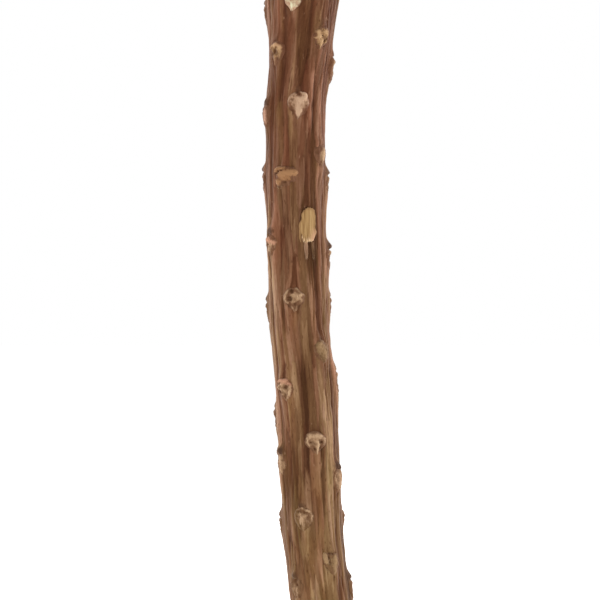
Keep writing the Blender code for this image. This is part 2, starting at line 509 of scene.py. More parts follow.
def barkColor(paint, tone):  # the bark's own browns: redder up the stem, lighter and yellower down it
    height = paint.node("ShaderNodeSeparateXYZ", {}, {0: paint.attribute("straight", "Vector")}, output=2)
    ruddy = paint.streaks(380, 70, (1, 5, 3), 2)
    mossy = paint.streaks(520, 90, (7, 2, 6), 2)
    color = paint.ramp(tone.clamp(), barkStops)
    color = paint.tint(ruddy.between(0.5, 0.68), color, (1.04, 0.95, 0.93))
    color = paint.tint(mossy.between(0.52, 0.7), color, (0.98, 1.04, 0.9))
    color = paint.tint(height.between(0.076, 0.088), color, (0.9, 0.82, 0.78))
    color = paint.tint(1 - height.between(0.06, 0.085), color, (1.05, 1.08, 1.03))
    color = paint.tint(1 - height.between(0.01, 0.05), color, (0.93, 0.96, 0.87))
    return color


def barkPaint():
    paint = Paint("bark", 0.85, 0.06, sheen=0.2)
    streak = paint.streaks(2400, 160)
    fibre = paint.streaks(8500, 700, (4, 2, 1), 3, 0.6)
    speck = paint.streaks(3600, 1500, (9, 4, 2), 3, 0.6)
    tone = paint.attribute("tone") * 0.85 + streak * 0.16 + fibre * 0.14 + speck * 0.26
    color = barkColor(paint, tone + paint.attribute("bare") * 0.14 - 0.28)
    hue = paint.attribute("hue")
    color = paint.tint(hue.between(0.12, 0.3), color, (1.04, 0.96, 0.95))
    color = paint.tint((0 - hue).between(0.12, 0.3), color, (0.98, 1.02, 0.9))
    # painted shade in the furrows and in the split between the strips
    color = paint.mix(paint.attribute("furrow") * 0.55, color, srgb(74, 42, 24))
    fleck = paint.streaks(2100, 700, (3, 8, 1), 1)
    color = paint.mix(fleck.between(0.71, 0.85) * 0.4, color, srgb(160, 124, 98))
    mark = paint.streaks(2500, 800, (8, 8, 4), 1)
    color = paint.mix(mark.between(0.66, 0.76) * 0.6, color, srgb(68, 39, 20))
    color = paint.mix(paint.attribute("shade") * 0.85, color, srgb(64, 43, 31))
    color = paint.mix(paint.attribute("cut") * 0.8, color, srgb(120, 78, 50))
    return paint.finish(color, paint.bump(fibre * 0.4 + streak * 0.4 + speck * 0.5, 0.5, 0.12 * mm))


# Wood and pith, seen at the two cut ends. A cut face's pattern runs out from the middle.

wood = {
    "around": 180,
    "rows": 66,
    "rimRows": 24,
    "innerRows": 11,
    "inside": 1.25 * mm,
    "years": 3.3,
    "yearRelief": 0.03,  # reliefs and dents of the cut ends are in mm
    "checkDepth": 0.5,
    # drying cracks: the turn, the width in degrees and how far in it runs
    "checks": [(12, 1.6, 0.95), (74, 1.0, 0.6), (139, 1.8, 1.0), (196, 1.1, 0.7), (251, 1.4, 0.85),
               (318, 1.2, 0.75)],
}

pith = {
    "around": 60,
    "rimRows": 12,
    "radius": 1.08 * mm,
    "dent": 0.3,
}


def woodSleeve(height, turn, radius, shareOut, kind):
    outside = radius - stem["barkOverWood"] - 0.02 * mm
    distance = blendTo(wood["inside"], outside, shareOut)
    wander = 0.05 * noise.noise(facing(turn) * 1.5)
    year = 0.5 + 0.5 * math.cos(2 * math.pi * wood["years"] * (shareOut + wander))
    check = 0
    for checkTurn, width, reach in wood["checks"]:
        bent = checkTurn + 5 * noise.noise(Vector((checkTurn, shareOut * 3, 0)))
        gap = hump(wrapTurn(turn - bent), width * (0.5 + shareOut))
        # how open a crack is, which sets its dent and its painted shade
        check = max(check, gap * smooth(1 - reach, 1.1 - reach, shareOut))
    dent = wood["yearRelief"] * year + 0.02 * noise.noise(Vector((turn * 0.9, shareOut * 4, 2)))
    dent += wood["checkDepth"] * check + 0.05
    dent *= smooth(0, 0.08, shareOut) * (1 - smooth(0.96, 1, shareOut))
    return distance, (year, check, dent), straight(shareOut * 3 * mm if kind == 1 else height, turn)


def woodPaint():
    paint = Paint("wood", 0.75, 0.2)
    ray = paint.streaks(5200, 160, (1, 2, 3), 3, 0.6)
    where = paint.node("ShaderNodeTexCoord", output=3)
    pore = paint.node("ShaderNodeTexVoronoi", {"feature": "F1"}, {"Vector": where, "Scale": 6500})
    patch = paint.noise(where, 700, 3)
    color = paint.ramp(ray * 0.7 + patch * 0.4 - 0.05 - paint.attribute("year") * 0.12, [
        (0.2, srgb(120, 88, 58)), (0.5, srgb(158, 124, 88)), (0.8, srgb(190, 158, 118))])
    color = paint.mix((1 - pore.between(0.12, 0.3)) * 0.55, color, srgb(92, 62, 38))
    # painted shade inside the drying cracks
    color = paint.mix(paint.attribute("check").between(0.15, 0.6) * 0.9, color, srgb(44, 28, 16))
    return paint.finish(color, paint.bump(ray + pore * 0.4, 0.5, 0.08 * mm), 0.7 + ray * 0.2)


def pithSleeve(height, turn, radius, shareOut, kind):
    if kind == 2:
        shareOut = 0
    lump = noise.noise(facing(turn) * shareOut * 3.5 + Vector((0, 0, 1)))
    lump += 0.5 * noise.noise(facing(turn) * shareOut * 9)
    dent = (pith["dent"] + 0.16 * lump) * (1 - shareOut ** 4)
    return pith["radius"] * shareOut, (0.5 + lump, dent), straight(height, turn, shareOut * mm)


def pithPaint():
    paint = Paint("pith", 0.9, 0.1)
    where = paint.node("ShaderNodeTexCoord", output=3)
    cell = paint.node("ShaderNodeTexVoronoi", {"feature": "F1"}, {"Vector": where, "Scale": 9000})
    color = paint.ramp(cell * 0.6 + paint.attribute("lump") * 0.5, [
        (0.2, srgb(84, 54, 32)), (0.55, srgb(128, 92, 58)), (0.9, srgb(168, 130, 88))])
    return paint.finish(color, paint.bump(cell, 0.7, 0.06 * mm))


def makeWoodAndPith():
    path = sleevePath(wood["rows"], wood["rimRows"], wood["innerRows"])
    bm = rollSleeve(wood["around"], path, ("year", "check", "dent"), woodSleeve)
    addPiece("wood", bm, woodPaint(), ["wood"])
    rod = sleevePath(wood["rows"], pith["rimRows"], 1)
    bm = rollSleeve(pith["around"], rod, ("lump", "dent"), pithSleeve)
    addPiece("pith", bm, pithPaint(), ["pith"])


makeWoodAndPith()
print("wood and pith made")


# Leaf bases

tornPatch = {
    "leaf": 29,
    "top": 3.1,  # how square its top and its foot are
    "foot": 3.6,
    "slim": 0.92,
    "splay": -0.2,
    "drift": 0.34 * mm,
    "level": 0.03 * mm,
    "raggedEnds": 0.75 * mm,
    "raggedSides": 0.34 * mm,
    "threads": 0.08 * mm,
    "curl": 0.2 * mm,
    "cushion": 0.2,  # how much the bark swells and sinks round it, beside a leaf base
    "pocket": 0.6,
    "slit": 0.14 * mm,  # the bark is split between the two loose strips
}

leafBase = {
    "fineness": 5,
    "sunk": 0.5 * mm,
    "level": 0.66,  # of how far it stands out: its face, holes and bars
    "holeDepth": 0.32,
    "barHeight": 0.4,
    "crumble": 0.09 * mm,
    "uneven": 0.14,
    "seed": 11,
}

plainKeys = {"tint": "tan", "top": 2.2, "foot": 1.9, "taper": 0.3, "uneven": 1, "pale": 0.5, "bud": 0.4,
             "blush": 0, "blushFrom": 0.42, "tail": 0}

tints = {  # light, middle and dark colour of the corky face
    "cream": (srgb(168, 137, 111), srgb(143, 111, 86), srgb(104, 73, 51)),
    "tan": (srgb(168, 138, 108), srgb(138, 108, 80), srgb(92, 63, 42)),
    "gold": (srgb(162, 129, 94), srgb(138, 105, 72), srgb(92, 62, 36)),
    "orange": (srgb(140, 102, 69), srgb(126, 88, 57), srgb(88, 54, 31)),
    "pink": (srgb(174, 134, 110), srgb(146, 106, 84), srgb(92, 58, 40)),
    "olive": (srgb(139, 111, 79), srgb(118, 91, 62), srgb(86, 60, 37)),
    "green": (srgb(210, 210, 180), srgb(186, 178, 146), srgb(150, 116, 92)),
}

# How each leaf base broke off. Holes: across, up, size, depth; one deeper than 1 cuts through the bars.
# Bars, the raised marks: from across, up, to across, up, width, height. Across and up run from -1 to 1.
# Top and foot: how square (3) or pointed (1.2) its ends are. Taper: how far its foot narrows. Uneven: how
# much its outline wanders. Pale: how much is bare cork. Bud: the size of the bud over it. Blush reddens it
# above blushFrom, and tail its foot.
looks = {
    45: {"tint": "green", "top": 2.4, "foot": 1.5, "taper": 0.45, "pale": 0.9, "bud": 0, "tail": 0.75,
         "holes": [(-0.5, 0.2, 0.15, 0.4)],
         "bars": [(-0.1, -0.3, -0.3, -0.9, 0.14, 0.3)]},
    42: {"tint": "gold", "top": 2.4, "foot": 1.8, "taper": 0.4, "pale": 0.65, "bud": 0.5,
         "holes": [(0.3, -0.22, 0.1, 1.4), (0.02, 0.1, 0.06, 1.3), (0.55, -0.12, 0.07, 1.2),
                   (-0.05, 0.6, 0.1, 0.8), (-0.75, -0.5, 0.26, 0.7), (0.7, -0.7, 0.25, 0.7)],
         "bars": [(-0.48, 0.35, -0.38, 0.05, 0.26, 0.6), (0.25, 0.45, 0.45, 0.2, 0.26, 0.45),
                  (-0.5, -0.05, -0.95, -0.1, 0.07, 0.35), (-0.12, -0.3, -0.18, -0.85, 0.18, 0.55),
                  (0.45, -0.38, 0.8, -0.35, 0.1, 0.3)]},
    40: {"tint": "gold", "top": 2.5, "blush": 0.3, "tail": 0.5,
         "holes": [(-0.15, -0.02, 0.19, 1.3), (-0.65, -0.15, 0.2, 1.2), (0.25, -0.5, 0.14, 0.9),
                   (-0.6, -0.7, 0.25, 0.8)],
         "bars": [(-0.8, 0.3, 0.0, 0.55, 0.2, 0.45), (0.0, 0.55, 0.5, 0.35, 0.2, 0.45),
                  (0.55, 0.3, 0.55, -0.35, 0.2, 0.4), (-0.1, -0.5, -0.12, -0.9, 0.28, 0.35)]},
    37: {"tint": "cream", "top": 2.0, "foot": 1.7, "taper": 0.35, "pale": 0.65,
         "holes": [(-0.14, 0.85, 0.13, 1.3), (0.05, 0.68, 0.1, 1.2), (-0.45, 0.3, 0.12, 0.9),
                   (-0.4, -0.05, 0.09, 0.7), (0.55, 0.15, 0.08, 0.6), (-0.55, -0.45, 0.14, 0.7),
                   (0.62, -0.45, 0.13, 0.7)],
         "bars": [(-0.15, 0.25, 0.28, 0.25, 0.28, 0.4), (0.08, 0.1, 0.06, -0.35, 0.36, 0.4),
                  (0.03, -0.4, -0.02, -0.85, 0.25, 0.4), (0.2, 0.88, 0.5, 0.6, 0.15, 0.45),
                  (0.5, 0.6, 0.8, 0.0, 0.14, 0.3), (-0.35, 0.75, -0.7, 0.4, 0.17, 0.35),
                  (-0.75, 0.3, -0.8, -0.1, 0.14, 0.25)]},
    35: {"tint": "pink", "foot": 2.0, "pale": 0.45, "bud": 0.9,
         "holes": [(0.6, -0.75, 0.18, 1.2), (-0.1, 0.55, 0.2, 0.5)],
         "bars": [(0.3, 0.2, 0.38, -0.4, 0.42, 0.4)]},
    34: {"foot": 1.8, "taper": 0.4, "pale": 0.4,
         "holes": [(-0.6, 0.2, 0.2, 0.7)],
         "bars": [(0.2, 0.45, 0.1, 0.0, 0.3, 0.4), (0.1, 0.0, 0.0, -0.8, 0.18, 0.3)]},
    32: {"tint": "orange", "top": 2.8, "foot": 2.4, "taper": 0.1, "bud": 0.2,
         "holes": [(-0.85, -0.2, 0.12, 1.4), (-0.7, 0.03, 0.1, 1.35), (-0.56, 0.2, 0.09, 1.35),
                   (-0.4, 0.36, 0.08, 1.35), (-0.2, 0.5, 0.07, 1.3), (0.05, -0.55, 0.13, 1.0),
                   (0.6, -0.6, 0.2, 0.8)],
         "bars": [(-0.05, 0.08, 0.72, 0.22, 0.36, 0.7), (-0.75, 0.55, -0.15, 0.85, 0.3, 0.6),
                  (-0.6, -0.5, -0.3, -0.5, 0.2, 0.5), (-0.45, -0.6, -0.45, -0.9, 0.15, 0.4)]},
    27: {"top": 2.0, "taper": 0.2, "pale": 0.55, "bud": 0.9, "blush": 1, "blushFrom": 0,
         "holes": [(-0.3, 0.75, 0.25, 1.1), (0.3, -0.25, 0.1, 0.9), (-0.3, -0.1, 0.14, 0.8)],
         "bars": [(-0.4, 0.45, 0.7, 0.0, 0.24, 0.5), (0.1, -0.5, 0.2, -0.75, 0.36, 0.35)]},
    24: {"top": 2.3, "pale": 0.45, "bud": 0.2,
         "holes": [(-0.12, 0.66, 0.16, 2.0), (-0.3, 0.02, 0.17, 2.0), (0.22, 0.18, 0.08, 0.8),
                   (0.1, -0.36, 0.14, 1.0), (0.6, -0.6, 0.24, 0.9), (-0.55, -0.6, 0.3, 0.9),
                   (0.05, -0.68, 0.08, 0.7)],
         "bars": [(-0.6, 0.5, -0.75, 0.0, 0.2, 0.4), (0.1, 0.45, 0.6, 0.25, 0.17, 0.35),
                  (0.0, 0.2, 0.6, -0.1, 0.17, 0.35), (0.35, 0.75, 0.75, 0.35, 0.16, 0.3),
                  (-0.5, 0.75, 0.25, 0.9, 0.12, 0.25), (-0.6, -0.22, 0.1, -0.2, 0.13, 0.35),
                  (-0.2, -0.6, 0.1, -0.85, 0.16, 0.35), (0.3, -0.55, 0.25, -0.85, 0.13, 0.35)]},
    21: {"tint": "olive", "pale": 0.85,
         "holes": [(0.5, 0.6, 0.3, 1.0), (-0.8, -0.4, 0.2, 0.7)],
         "bars": [(-0.4, 0.5, -0.5, 0.0, 0.2, 0.3), (-0.2, 0.4, 0.25, -0.6, 0.28, 0.3)]},
    19: {"top": 2.3, "pale": 0.55, "bud": 0.3, "blush": 1,
         "holes": [(0.2, 0.12, 0.19, 1.3), (-0.55, -0.25, 0.14, 1.4), (-0.3, 0.35, 0.1, 0.6),
                   (0.1, -0.45, 0.1, 0.8)],
         "bars": [(-0.6, 0.65, 0.35, 0.65, 0.22, 0.5), (-0.7, 0.0, -0.15, 0.35, 0.11, 0.45),
                  (0.65, 0.4, 0.6, -0.3, 0.15, 0.45), (-0.25, -0.1, 0.15, -0.2, 0.1, 0.35),
                  (0.5, -0.4, 0.2, -0.8, 0.15, 0.4), (-0.25, -0.4, 0.0, -0.75, 0.1, 0.3)]},
    16: {"top": 2.0, "foot": 1.8, "taper": 0.4, "bud": 0.25,
         "holes": [(0.45, -0.02, 0.11, 1.5), (-0.4, -0.05, 0.09, 1.0), (-0.75, -0.65, 0.32, 0.8),
                   (0.7, -0.6, 0.33, 0.8), (-0.15, -0.5, 0.1, 1.2), (0.36, -0.42, 0.1, 1.2),
                   (-0.15, -0.12, 0.05, 0.8), (0.22, -0.08, 0.05, 0.8)],
         "bars": [(-0.4, 0.5, 0.4, 0.5, 0.36, 0.45), (-0.75, 0.2, -0.6, -0.3, 0.18, 0.35),
                  (0.06, 0.0, 0.12, -0.95, 0.13, 0.7), (0.75, 0.25, 0.65, -0.15, 0.14, 0.3)]},
    14: {"pale": 0.9, "bud": 1,
         "holes": [(-0.5, 0.4, 0.2, 0.8), (0.0, 0.3, 0.1, 0.5)],
         "bars": [(0.3, 0.45, 0.3, -0.5, 0.25, 0.4)]},
    13: {"pale": 0.8, "bud": 1.1,
         "holes": [(-0.1, 0.6, 0.14, 0.7), (-0.45, 0.1, 0.11, 0.6), (0.3, 0.2, 0.1, 0.4)],
         "bars": [(-0.65, 0.35, -0.6, -0.15, 0.1, 0.3), (0.1, 0.2, 0.15, -0.7, 0.28, 0.3)]},
    11: {"top": 2.1, "foot": 1.8, "uneven": 0.3,
         "holes": [(0.15, 0.5, 0.17, 0.9), (-0.35, 0.55, 0.12, 1.0), (-0.6, 0.1, 0.12, 0.9),
                   (0.45, 0.0, 0.18, 0.5), (-0.35, -0.5, 0.1, 0.9), (-0.1, 0.2, 0.07, 0.8),
                   (0.15, -0.35, 0.07, 0.8)],
         "bars": [(-0.6, 0.65, 0.0, 0.86, 0.13, 0.25), (0.0, 0.86, 0.55, 0.6, 0.14, 0.28),
                  (0.5, 0.6, 0.75, 0.1, 0.15, 0.3), (0.75, 0.1, 0.5, -0.55, 0.14, 0.2),
                  (-0.8, 0.25, -0.55, -0.5, 0.14, 0.22), (-0.2, 0.4, -0.2, -0.3, 0.12, 0.4),
                  (0.05, -0.1, 0.0, -0.85, 0.18, 0.35), (-0.15, 0.1, 0.25, 0.2, 0.1, 0.3)]},
    8: {"tint": "olive", "top": 2.8, "foot": 2.0, "taper": 0.25, "pale": 0.45, "bud": 0.2,
        "holes": [(-0.15, 0.75, 0.13, 1.3), (0.15, 0.8, 0.12, 1.3), (0.5, 0.75, 0.12, 1.2),
                  (0.78, 0.45, 0.12, 1.1), (-0.22, 0.35, 0.11, 1.3), (-0.25, 0.0, 0.1, 1.2),
                  (0.82, 0.1, 0.1, 0.9), (-0.7, -0.5, 0.25, 0.7)],
        "bars": [(-0.62, 0.6, -0.58, 0.0, 0.16, 1.1), (0.28, 0.4, 0.24, -0.75, 0.28, 0.5)]},
    6: {"top": 2.0, "taper": 0.4, "pale": 0.4, "bud": 0.6,
        "holes": [(0.05, 0.65, 0.3, 1.0), (0.25, 0.2, 0.18, 0.9)],
        "bars": [(-0.3, -0.1, -0.25, -0.5, 0.12, 0.35), (0.2, -0.15, 0.15, -0.8, 0.2, 0.35)]},
}


def plainLook(number):  # an arched upper lip, a few vein marks and a tail, each a little different
    draw = random.Random(leafBase["seed"] + number)
    left, right, drop = draw.uniform(-0.7, -0.45), draw.uniform(0.45, 0.7), draw.uniform(0.1, 0.35)
    return {
        "tint": draw.choice(["tan", "olive", "tan", "pink", "olive"]),
        "top": draw.uniform(2.0, 2.6),
        "foot": draw.uniform(1.7, 2.1),
        "taper": draw.uniform(0.25, 0.5),
        "pale": draw.uniform(0.4, 0.75),
        "bud": draw.uniform(0.5, 1.15),
        "holes": [(across + draw.uniform(-0.1, 0.1), up + draw.uniform(-0.1, 0.1),
                   draw.uniform(0.11, 0.18), draw.uniform(0.6, 1.2))
                  for across, up in ((-0.42, 0.1), (0.42, 0.1), (0, -0.15), (0, 0.8))],
        "bars": [(left, drop, 0, 0.55, draw.uniform(0.1, 0.17), draw.uniform(0.2, 0.4)),
                 (0, 0.55, right, drop, draw.uniform(0.1, 0.17), draw.uniform(0.2, 0.4)),
                 (0, -0.3, draw.uniform(-0.15, 0.15), -0.9,
                  draw.uniform(0.14, 0.22), draw.uniform(0.2, 0.35))],
    }


for number in leaves:
    looks[number] = {**plainKeys, **(looks.get(number) or plainLook(number))}


def toBar(across, up, bar):  # the distance from a point to a bar's middle line
    startAcross, startUp, endAcross, endUp = bar[:4]
    runAcross, runUp = endAcross - startAcross, endUp - startUp
    share = ((across - startAcross) * runAcross + (up - startUp) * runUp) / (runAcross ** 2 + runUp ** 2)
    share = min(1, max(0, share))
    return math.hypot(across - startAcross - share * runAcross, up - startUp - share * runUp)


def leafFace(number, look, across, up, high):  # how far out the face stands, as a share, and its pattern, with painted shade in its holes
    fromMiddle = math.hypot(across, up)
    ragged = noise.noise(Vector((across * 2.2, up * 2.2, number * 3.3)))
    ragged += 0.5 * noise.noise(Vector((across * 6, up * 6, number * 1.7)))
    frayed = noise.noise(Vector((across * 9, up * 4, number * 5.9)))
    pale = 1 - smooth(look["pale"] - 0.2, look["pale"] + 0.08, fromMiddle + 0.26 * ragged)
    out = smooth(0, 0.9, high) * (leafBase["level"] + 0.12 * up) + 0.1 * high
    pit = 0
    cutThrough = 0
    for holeAcross, holeUp, size, depth in look["holes"]:
        hole = hump(math.hypot(across - holeAcross + 0.08 * ragged, up - holeUp), size)
        out -= leafBase["holeDepth"] * depth * hole
        # painted shade in the holes, strongest where they sink deepest
        pit = max(pit, depth * hole)
        cutThrough = max(cutThrough, 3 * (depth - 1) * hole)
    raised = 0
    for bar in look["bars"]:
        away = toBar(across + 0.12 * ragged, up + 0.1 * frayed, bar)
        width, rise = bar[4:]
        raised += rise * hump(away, width * (1 + 0.45 * frayed))
    raised *= 1 - min(1, cutThrough)
    out += leafBase["barHeight"] * raised * smooth(0, 0.6, high)
    pit *= 1 - min(1, 1.5 * raised)
    return out, min(1, pit), max(pale, min(1, 1.7 * raised)), raised


def outlineAt(across, up, shape):  # the outline's reach this way, and how much of the length lies there
    angle = math.atan2(up, across)
    power = shape["top"] if up > 0 else shape["foot"]
    reach = (abs(math.cos(angle)) ** power + abs(math.sin(angle)) ** power) ** (-1 / power)
    return angle, reach, 1 - leafTailShare if up > 0 else leafTailShare


def makeLeafBase(number):
    leaf = leaves[number]
    look = looks[number]
    _, radius = stemAt(leaf["height"])
    bm = bmesh.new()
    place, pitShadeLayer, paleLayer, raisedLayer, tailLayer, blushLayer = layers(
        bm, "pit", "pale", "raised", "tail", "blush")
    bmesh.ops.create_icosphere(bm, subdivisions=leafBase["fineness"], radius=1)
    for vert in bm.verts:
        across, up, out = vert.co.x, vert.co.y, vert.co.z
        angle, reach, lengthShare = outlineAt(across, up, look)
        wander = noise.noise(Vector((math.cos(angle) * 2, math.sin(angle) * 2, number)))
        reach *= 1 + leafBase["uneven"] * wander * look["uneven"]
        rise = up * reach * leaf["tall"] * lengthShare
        side = across * reach * leaf["width"] / 2 * (1 - look["taper"] * smooth(0, 1, -up))
        if out > 0:
            share, *marks = leafFace(number, look, across, up, out)
            vert[pitShadeLayer], vert[paleLayer], vert[raisedLayer] = marks
            crumb = noise.noise(Vector((side, rise, number * mm)) / (0.35 * mm))
            crumb += 0.6 * noise.noise(Vector((side, 0.4 * rise, number * mm)) / (0.16 * mm))
            distance = leaf["proud"] * share + leafBase["crumble"] * crumb * out ** 0.5
            vert[tailLayer] = smooth(0.35, 0.95, -up)
            upper = smooth(-0.17, 0.18, up + 0.3 * across + 0.2 * crumb - look["blushFrom"])
            lower = smooth(0.3, 0.75, -up + 0.3 * crumb)
            vert[blushLayer] = look["blush"] * upper + look["tail"] * lower
        else:
            distance = out * leafBase["sunk"]
        turn = leaf["turn"] + math.degrees(side / radius)
        put(vert, place, leaf["height"] + rise, turn, distance)
    addPiece(f"leafBase{number:02d}", bm, leafPaints[look["tint"]], [leaf["node"]])


def leafPaint(name):
    light, middle, dark = tints[name]
    paint = Paint(name + "Cork", 0.85, 0.15, sheen=0.1)
    speck = paint.streaks(5200, 3200, (2, 3, 5), 4, 0.65)
    patch = paint.streaks(1500, 900, (5, 1, 2), 2)
    streak = paint.streaks(2600, 260, detail=4, rough=0.6)
    color = paint.ramp(speck * 0.7 + patch * 0.5 - 0.27 + paint.attribute("raised") * 0.9, [
        (0.24, dark), (0.52, middle), (0.85, light)])
    color = paint.mix(paint.attribute("blush") * 0.7, color, srgb(166, 116, 92))
    around = barkColor(paint, streak * 0.8 + patch * 0.4 - 0.1)
    pale = paint.attribute("pale") * (1 - 0.5 * paint.attribute("tail"))
    color = paint.mix((pale + speck * 0.5 - 0.25).between(0.15, 0.8), around, color)
    # painted shade in the holes of the face
    color = paint.mix(paint.attribute("pit").between(0.2, 0.85) * 0.8, color, srgb(80, 50, 28))
    return paint.finish(color, paint.bump(speck, 0.6, 0.1 * mm), 0.8 + speck * 0.15)


makeBark()
print("bark made")
leafPaints = {name: leafPaint(name) for name in tints}
for number in leaves:
    if number != tornPatch["leaf"]:
        makeLeafBase(number)
print("leaf bases made")


# The torn patch, where a leaf took bark with it, and the two loose strips under it

def makeTornPatch():
    leaf = leaves[tornPatch["leaf"]]
    _, radius = stemAt(leaf["height"])
    bm = bmesh.new()
    place, strand, fray, rim, lipLayer = layers(bm, "strand", "fray", "rim", "lip")
    bmesh.ops.create_icosphere(bm, subdivisions=6, radius=1)
    for vert in bm.verts:
        across, up, out = vert.co.x, vert.co.y, vert.co.z
        _, reach, lengthShare = outlineAt(across, up, tornPatch)
        rise = up * reach * leaf["tall"] * lengthShare
        side = tornPatch["slim"] * across * reach * leaf["width"] / 2 * (1 + tornPatch["splay"] * up)
        side += tornPatch["drift"] * (up + 0.2)
        splinter = noise.noise(Vector((side / (0.3 * mm), 7, 0)))
        rise += tornPatch["raggedEnds"] * splinter * smooth(0.2, 1, abs(up)) * (1.5 if up < 0 else 0.8)
        notch = noise.noise(Vector((rise / (1.1 * mm), 3, across)))
        side += tornPatch["raggedSides"] * notch * abs(across)
        fromMiddle = math.hypot(across, up)
        if out > 0:
            thread = noise.noise(Vector((side / (0.26 * mm), rise / (3.5 * mm), 3)))
            thread += 0.6 * noise.noise(Vector((side / (0.11 * mm), rise / (2 * mm), 9)))
            lip = smooth(0.68, 0.95, -up + 0.2 * splinter)
            edge = smooth(0.1, 0.7, across) * smooth(0.2, 0.6, -up)
            distance = tornPatch["level"] + tornPatch["threads"] * thread
            distance += tornPatch["curl"] * (lip + edge)
            distance *= smooth(0, 0.45, out)
            vert[strand] = 0.5 + 0.5 * thread
            vert[fray] = lip * (0.8 + 0.3 * thread + 0.4 * splinter)
            vert[lipLayer] = edge
            # painted shade along the patch's edge, where it meets its pocket, but not along its foot
            vert[rim] = smooth(0.78, 0.96, fromMiddle + 0.12 * thread) * (1 - smooth(0.5, 0.8, -up))
        else:
            distance = out * leafBase["sunk"]
            # the underside, sunk in the bark, is all painted shade
            vert[rim] = 1
        turn = leaf["turn"] + math.degrees(side / radius)
        put(vert, place, leaf["height"] + rise, turn, distance)
    addPiece("tornPatch", bm, tornPaint(), [leaf["node"]])


def tornPaint():
    paint = Paint("tornBark", 0.85, 0.15, sheen=0.1)
    thread = paint.streaks(5200, 260, (3, 3, 3), 4, 0.6)
    broad = paint.streaks(2400, 150, (1, 1, 5), 2)
    color = paint.ramp(paint.attribute("strand") * 0.5 + thread * 0.6 + broad * 0.6 - 0.4, [
        (0.15, srgb(104, 74, 44)), (0.38, srgb(138, 106, 66)), (0.62, srgb(162, 131, 88)),
        (0.95, srgb(184, 154, 114))])
    color = paint.mix(paint.attribute("lip") * 0.8, color, srgb(190, 146, 116))
    color = paint.mix(paint.attribute("fray") * 0.75, color, srgb(206, 174, 138))
    # painted shade round the patch's edge and under it
    color = paint.mix(paint.attribute("rim") * 0.6, color, srgb(122, 88, 58))
    return paint.finish(color, paint.bump(thread, 0.6, 0.1 * mm))


strip = {
    "tuck": 0.35 * mm,  # how far its upper end reaches under the patch's frayed lip
    "level": 0.06 * mm,
    "bow": 0.4 * mm,
    "thickness": 0.11 * mm,
    "threads": 0.05 * mm,
}


def stripPaint(name, paler):  # a strip that kept some of its outer bark, with pale threads at its tip
    paint = Paint(name, 0.85, 0.15, sheen=0.1)
    thread = paint.streaks(5200, 260, (6, 3, 3), 4, 0.6)
    color = barkColor(paint, paint.attribute("strand") * 0.5 + thread * 0.7 - 0.15 + paler)
    worn = paint.attribute("fray") * (0.2 + paler) + paler * 0.5 * thread
    color = paint.mix(worn.clamp(), color, srgb(178, 142, 108))
    return paint.finish(color, paint.bump(thread, 0.6, 0.1 * mm))


def makeStrip(node, name, material):  # a bark strip, bowed off the stem, its threads splitting at the tip
    lowest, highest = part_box(node)
    points = nodePoints(node)
    middle, _ = stemAt((lowest.z + highest.z) / 2)
    side = sum(points, Vector()) / len(points) - middle
    midTurn = turnOf(side.x, side.y)
    wide = max(abs(wrapTurn(turnOf(point.x - middle.x, point.y - middle.y) - midTurn)) for point in points)
    bm = bmesh.new()
    place, strand, fray = layers(bm, "strand", "fray")
    top = highest.z + strip["tuck"]
    bmesh.ops.create_icosphere(bm, subdivisions=5, radius=1)
    for vert in bm.verts:
        across, up, out = vert.co
        down = (1 - up) / 2
        ragged = noise.noise(Vector((across * 4, 0, highest.z / mm)))
        ragged += 0.8 * noise.noise(Vector((across * 11, 3, 0)))
        height = top - (top - lowest.z) * min(1, max(0, down * (1 + 0.45 * ragged * down)))
        slim = 0.85 - 0.4 * down + 0.15 * ragged
        squared = (1 - up ** 8) ** 0.5 / max(0.2, math.sqrt(1 - up * up) + 1e-6)  # a ball made a slat
        turn = midTurn + wide * across * slim * squared
        thread = noise.noise(Vector((across * 5, height / (1.2 * mm), 5)))
        lift = strip["level"] + strip["bow"] * down ** 2
        lift += strip["thickness"] * out + strip["threads"] * thread
        put(vert, place, height, turn, lift)
        vert[strand] = 0.5 + 0.5 * thread
        vert[fray] = smooth(0.6, 1, down)
    addPiece(name, bm, material, [node])


makeTornPatch()
makeStrip("peeled_strip_left", "peeledStripLeft", stripPaint("paleStrip", 0.35))
makeStrip("peeled_strip_right", "peeledStripRight", stripPaint("barkStrip", 0))
print("torn patch made")


# Loose fibres and crumbs of cork on the bark

litter = {
    "fibres": 70,
    "crumbs": 26,
    "fibreSteps": 9,
    "fibreSides": 5,
    "fibreRadius": 0.045 * mm,
    "crumbSize": 0.11 * mm,
    "crumblyLeaf": 32,  # it has more crumbs under it
    "moreCrumbs": 7,
    "seed": 21,
}


